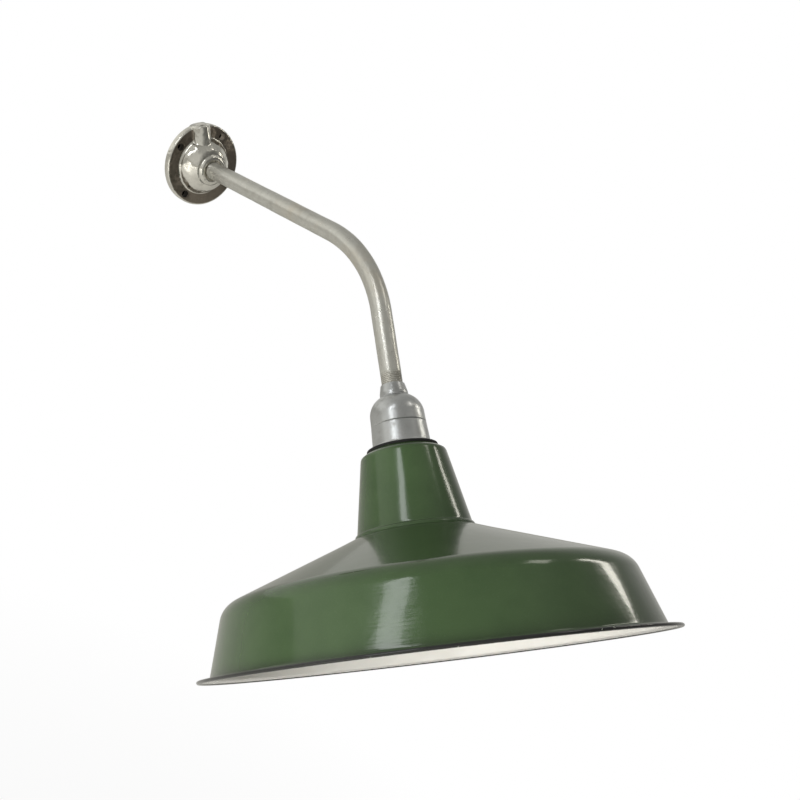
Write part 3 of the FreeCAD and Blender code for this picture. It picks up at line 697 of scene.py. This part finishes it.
paint, floor = stage_material("pale_floor")
place = floor.node("ShaderNodeTexCoord", output="Object")
away = floor.node("ShaderNodeVectorMath", {"operation": "DISTANCE"}, {0: place, 1: UNDER_LAMP}, output=1)
near = 1.0 - away.between(SHADOW_CORE, SHADOW_END)
lit = floor.ray("Glossy") * MIRRORED_FLOOR + floor.ray("Camera") * (1.0 - near * SHADOW)
matt = floor.node("ShaderNodeBsdfDiffuse", None, {"Color": (0.84, 0.83, 0.80, 1.0)})
glow_colour = floor.blend(floor.ray("Glossy"), (1.0, 1.0, 1.0), (1.0, 0.98, 0.90))
glow = floor.node("ShaderNodeEmission", None, {"Color": glow_colour})
surface = floor.node("ShaderNodeMixShader", None, {0: lit, 1: matt, 2: glow})
floor.node("ShaderNodeOutputMaterial", None, {0: surface})
square = ((-1, -1), (1, -1), (1, 1), (-1, 1))
stage_face("floor", [(x * FLOOR_REACH, y * FLOOR_REACH, FLOOR_Z) for x, y in square], paint)

# ---------------------------------------------------------------------------
# Disc behind the flange: stands for the unlit wall, so that the screw holes look dark to the camera
# from the front. From behind, and to all light, it is clear.

DISC_R, DISC_Y, DISC_CORNERS = 0.049, 0.0006, 64
card_paint, card = stage_material("behind_flange")
from_front = 1.0 - card.node("ShaderNodeNewGeometry", output="Backfacing")
black = card.node("ShaderNodeBsdfDiffuse", None, {"Color": (0.01, 0.01, 0.01, 1.0)})
clear = card.node("ShaderNodeBsdfTransparent")
clear_share = 1.0 - from_front * card.ray("Camera")
surface = card.node("ShaderNodeMixShader", None, {0: clear_share, 1: black, 2: clear})
card.node("ShaderNodeOutputMaterial", None, {0: surface})
stage_face("behind_flange", [
    (DISC_R * math.cos(a), DISC_Y, DISC_R * math.sin(a))
    for a in np.linspace(0, 2 * np.pi, DISC_CORNERS, endpoint=False)], card_paint)

# ---------------------------------------------------------------------------
# Surround: white to the camera, and dim to matt surfaces. What is mirrored is grey, darker overhead
# and at the front right, and a little brighter on the wall's side at the left.

MIRRORED, WALL_GLOW, CEILING_DARK, SIDE_DARK, DIFFUSE = 0.56, 0.16, 0.42, 0.72, 0.15
DARK_AZIMUTH = math.radians(35)
AIR_TINT = (1.0, 0.99, 0.93)

world = bpy.data.worlds.new("surround")
bpy.context.scene.world = world
world.use_nodes = True
world.node_tree.nodes.clear()
air = Graph(world.node_tree)
way = air.node("ShaderNodeTexCoord", output="Generated")
rightward, wallward, upward = (air.node("ShaderNodeSeparateXYZ", None, {0: way}, output=k) for k in range(3))
towards_wall = wallward.between(0.1, 0.7)
ceiling = upward.between(0.25, 0.75)
dark_side = (rightward * math.sin(DARK_AZIMUTH) - wallward * math.cos(DARK_AZIMUTH)).between(0.30, 0.80)
mirrored = MIRRORED + towards_wall * (WALL_GLOW - rightward * WALL_GLOW)
mirrored = mirrored * (1.0 - ceiling * CEILING_DARK) * (1.0 - dark_side * SIDE_DARK)
seen, glossy, through = (air.ray(kind) for kind in ("Camera", "Glossy", "Transmission"))
level = (seen + through + glossy * mirrored + (1.0 - seen - through - glossy) * DIFFUSE).clipped()
tinted = {k: level * (seen * (1.0 - share) + share) for k, share in enumerate(AIR_TINT)}
sky = air.node("ShaderNodeBackground", None, {0: air.node("ShaderNodeCombineColor", None, tinted)})
air.node("ShaderNodeOutputWorld", None, {0: sky})

# ---------------------------------------------------------------------------
# Lights: three windows that the enamel and the metals mirror as streaks, and three broad fills that
# nothing mirrors. Most of the light comes from the left.

SHADE_MIDDLE = Vector((0.0, -0.55, -0.2))


def window(name, azimuth, elevation, distance, width, height, watts, colour, mirrored=True):
    """Area light that faces the shade's middle; azimuth 0 is in front of the wall and 90 to the right."""
    a, e = math.radians(azimuth), math.radians(elevation)
    towards = Vector((math.sin(a) * math.cos(e), -math.cos(a) * math.cos(e), math.sin(e)))
    light = bpy.data.lights.new(name, "AREA")
    light.shape, light.size, light.size_y = "RECTANGLE", width, height
    light.energy, light.color = watts, colour
    lamp = bpy.data.objects.new(name, light)
    lamp.location = SHADE_MIDDLE + towards * distance
    lamp.rotation_mode = "QUATERNION"
    lamp.rotation_quaternion = towards.to_track_quat("Z", "Y")
    lamp.visible_glossy = mirrored
    bpy.context.scene.collection.objects.link(lamp)


window("window_right", 76, 43, 2.6, 0.16, 1.0, 3.5, (1.0, 0.96, 0.86))
window("window_left", -101, 31, 2.6, 0.30, 1.2, 5.0, (0.96, 0.98, 1.0))
window("window_above", 57, 75, 2.6, 0.45, 0.45, 1.8, (1.0, 0.96, 0.88))
window("side_fill", -74, 2, 3.2, 2.6, 2.0, 72, (1.0, 0.99, 0.97), mirrored=False)
window("low_fill", -74, -18, 2.6, 1.6, 0.6, 22, (1.0, 0.99, 0.97), mirrored=False)
window("top_fill", -150, 55, 3.0, 2.4, 2.4, 10, (1.0, 1.0, 1.0), mirrored=False)

# ---------------------------------------------------------------------------
# Camera: at about the arm's height, to the left of the arm's plane, and held at a slant. The shift
# stands for a photograph that is cut from one side of a larger frame.

AZIMUTH, ELEVATION, ROLL = (math.radians(v) for v in (-47.05, 12.06, 25.65))
CAMERA_AT = (-0.6911, -0.9804, 0.0283)
FOCAL_LENGTH, SENSOR, SHIFT = 40.5, 36.0, 0.125

back = Vector((
    math.sin(AZIMUTH) * math.cos(ELEVATION), -math.cos(AZIMUTH) * math.cos(ELEVATION), math.sin(ELEVATION)))
sideways = Vector((math.cos(AZIMUTH), math.sin(AZIMUTH), 0.0))
upright = back.cross(sideways)
right = math.cos(ROLL) * sideways + math.sin(ROLL) * upright
up = math.cos(ROLL) * upright - math.sin(ROLL) * sideways
lens = bpy.data.cameras.new("camera")
lens.lens, lens.sensor_width, lens.shift_x = FOCAL_LENGTH, SENSOR, SHIFT
lens.clip_start, lens.clip_end = 0.05, 60.0
camera = bpy.data.objects.new("camera", lens)
camera.matrix_world = Matrix.Translation(CAMERA_AT) @ Matrix((right, up, back)).transposed().to_4x4()
bpy.context.scene.collection.objects.link(camera)
bpy.context.scene.camera = camera
bpy.context.scene.view_settings.view_transform = "Standard"
